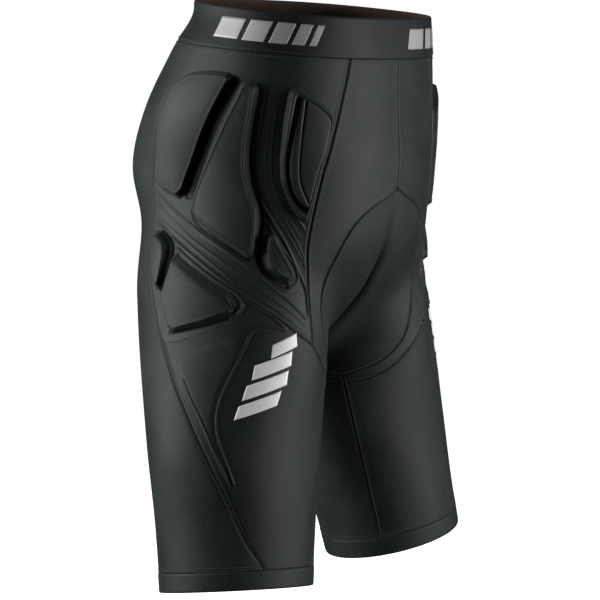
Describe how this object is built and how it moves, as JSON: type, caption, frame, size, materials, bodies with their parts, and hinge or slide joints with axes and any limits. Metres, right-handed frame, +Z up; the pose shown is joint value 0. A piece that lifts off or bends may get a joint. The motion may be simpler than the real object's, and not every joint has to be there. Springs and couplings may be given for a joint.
{
  "type": "padded impact shorts",
  "caption": "Close-fitting compression shorts with moulded foam pads over the hips, thighs and tailbone, an elastic waistband and a seamed crotch gusset.",
  "frame": {"origin": "centre of the waist opening, level with the top of the waistband at the hips", "axes": "+Z up along the body, -Y to the front, -X to the wearer's right"},
  "size_m": [0.442, 0.2567, 0.5569],
  "materials": {
    "shell_fabric": "charcoal black four-way stretch warp knit, satin face",
    "moulded_fabric": "charcoal black stretch knit bonded to foam and heat moulded, slightly smoother",
    "elastic": "black woven elastic with fine ribs",
    "brushed_lining": "dark brown black brushed lining",
    "mesh_lining": "black fine mesh lining",
    "foam": "grey closed-cell foam, matte",
    "silicone": "dark elastic tape with silicone ribs",
    "silver_print": "silver white transfer print, satin",
    "label_satin": "plain white satin label, blank"
  },
  "bodies": {
    "root": {"front_panel_R": "shell_fabric", "front_panel_L": "shell_fabric", "side_panel_R": "moulded_fabric", "side_panel_L": "moulded_fabric", "thigh_panel_R": "shell_fabric", "thigh_panel_L": "shell_fabric", "back_panel_R": "shell_fabric", "back_panel_L": "shell_fabric", "crotch_gusset": "shell_fabric", "crotch_chamois": "mesh_lining", "waistband": "elastic", "waistband_lining": "brushed_lining", "hem_band_R": "shell_fabric", "hem_band_L": "shell_fabric", "grip_tape_R": "silicone", "grip_tape_L": "silicone", "hip_pad_back_cover_R": "moulded_fabric", "hip_pad_back_cover_L": "moulded_fabric", "hip_pad_back_foam_R": "foam", "hip_pad_back_foam_L": "foam", "hip_pad_middle_cover_R": "moulded_fabric", "hip_pad_middle_cover_L": "moulded_fabric", "hip_pad_middle_foam_R": "foam", "hip_pad_middle_foam_L": "foam", "hip_pad_low_cover_R": "moulded_fabric", "hip_pad_low_cover_L": "moulded_fabric", "hip_pad_low_foam_R": "foam", "hip_pad_low_foam_L": "foam", "hip_pad_front_cover_R": "moulded_fabric", "hip_pad_front_cover_L": "moulded_fabric", "hip_pad_front_foam_R": "foam", "hip_pad_front_foam_L": "foam", "thigh_pad_back_cover_R": "moulded_fabric", "thigh_pad_back_cover_L": "moulded_fabric", "thigh_pad_back_foam_R": "foam", "thigh_pad_back_foam_L": "foam", "thigh_pad_side_cover_R": "moulded_fabric", "thigh_pad_side_cover_L": "moulded_fabric", "thigh_pad_side_foam_R": "foam", "thigh_pad_side_foam_L": "foam", "tailbone_pocket": "mesh_lining", "tailbone_foam": "foam", "side_liner_R": "mesh_lining", "side_liner_L": "mesh_lining", "thigh_emblem_R": "silver_print", "thigh_emblem_L": "silver_print", "waist_mark_side_R": "silver_print", "waist_mark_front_L": "silver_print", "care_label": "label_satin"}
  },
  "joints": []
}
